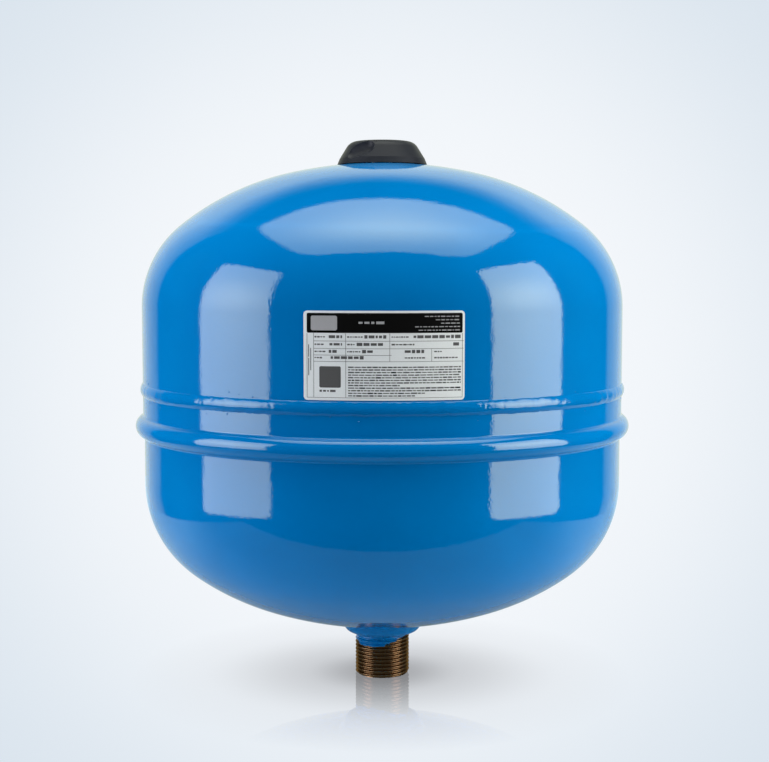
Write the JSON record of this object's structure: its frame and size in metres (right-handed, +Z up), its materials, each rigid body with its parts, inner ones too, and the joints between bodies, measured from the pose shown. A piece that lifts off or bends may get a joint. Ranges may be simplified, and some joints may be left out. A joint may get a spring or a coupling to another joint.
{
  "type": "well pressure tank",
  "caption": "Welded steel diaphragm pressure tank with a threaded water connection below and a capped air valve on top.",
  "frame": {"origin": "centre of the water connection's lower end face, on which the tank stands", "axes": "+Z up along the tank's axis, -Y is the front, where the label is, +X to the right seen from the front"},
  "size_m": [0.2999, 0.3, 0.3279],
  "materials": {
    "blue_coat": "glossy blue powder coat",
    "plated_steel": "bronze-coloured passivated steel, painted at the neck",
    "bare_steel": "plain rolled steel",
    "brass": "turned brass",
    "liner_plastic": "natural polypropylene",
    "seal_plastic": "white fluoroplastic",
    "black_rubber": "matt black butyl rubber",
    "black_plastic": "satin moulded black",
    "label_film": "silver-white film with dark print fields"
  },
  "bodies": {
    "tank": {"lower_shell": "blue_coat", "upper_shell": "blue_coat", "girth_weld": "blue_coat", "water_liner": "liner_plastic", "diaphragm": "black_rubber", "clench_ring": "bare_steel", "water_nipple": "plated_steel", "nipple_weld": "blue_coat", "liner_gasket": "black_rubber", "inlet_grid": "liner_plastic", "valve_stem": "brass", "valve_gasket": "black_rubber", "valve_washer": "bare_steel", "valve_nut": "brass", "core_plug": "brass", "core_barrel": "brass", "core_seal": "seal_plastic", "core_spring": "bare_steel", "data_label": "label_film"},
    "valve_pin": {"core_pin": "brass", "poppet_seal": "black_rubber"},
    "dust_cap_disc": {"dust_cap_gasket": "black_rubber"},
    "dust_cap": {"dust_cap": "black_plastic"},
    "protective_cap": {"protective_cap": "black_plastic"}
  },
  "joints": [
    {"name": "protective_cap_pull", "type": "slide", "parent": "tank", "child": "protective_cap", "axis": [0, 0, 1], "range_m": [0, 0.04]},
    {"name": "dust_cap_lift", "type": "slide", "parent": "tank", "child": "dust_cap_disc", "axis": [0, 0, 1], "range_m": [0, 0.00238]},
    {"name": "dust_cap_turn", "type": "hinge", "parent": "dust_cap_disc", "child": "dust_cap", "pos_m": [0, 0, 0.3207], "axis": [0, 0, 1], "range_deg": [0, 1080]},
    {"name": "valve_pin_press", "type": "slide", "parent": "tank", "child": "valve_pin", "axis": [0, 0, -1], "range_m": [0, 0.0012], "stiffness_N_per_m": 400, "springref_m": -0.003, "deforming": ["core_spring"]}
  ],
  "couplings": [
    {"joint": "dust_cap_turn", "follows": "dust_cap_lift", "rad_per_m": 7913}
  ]
}
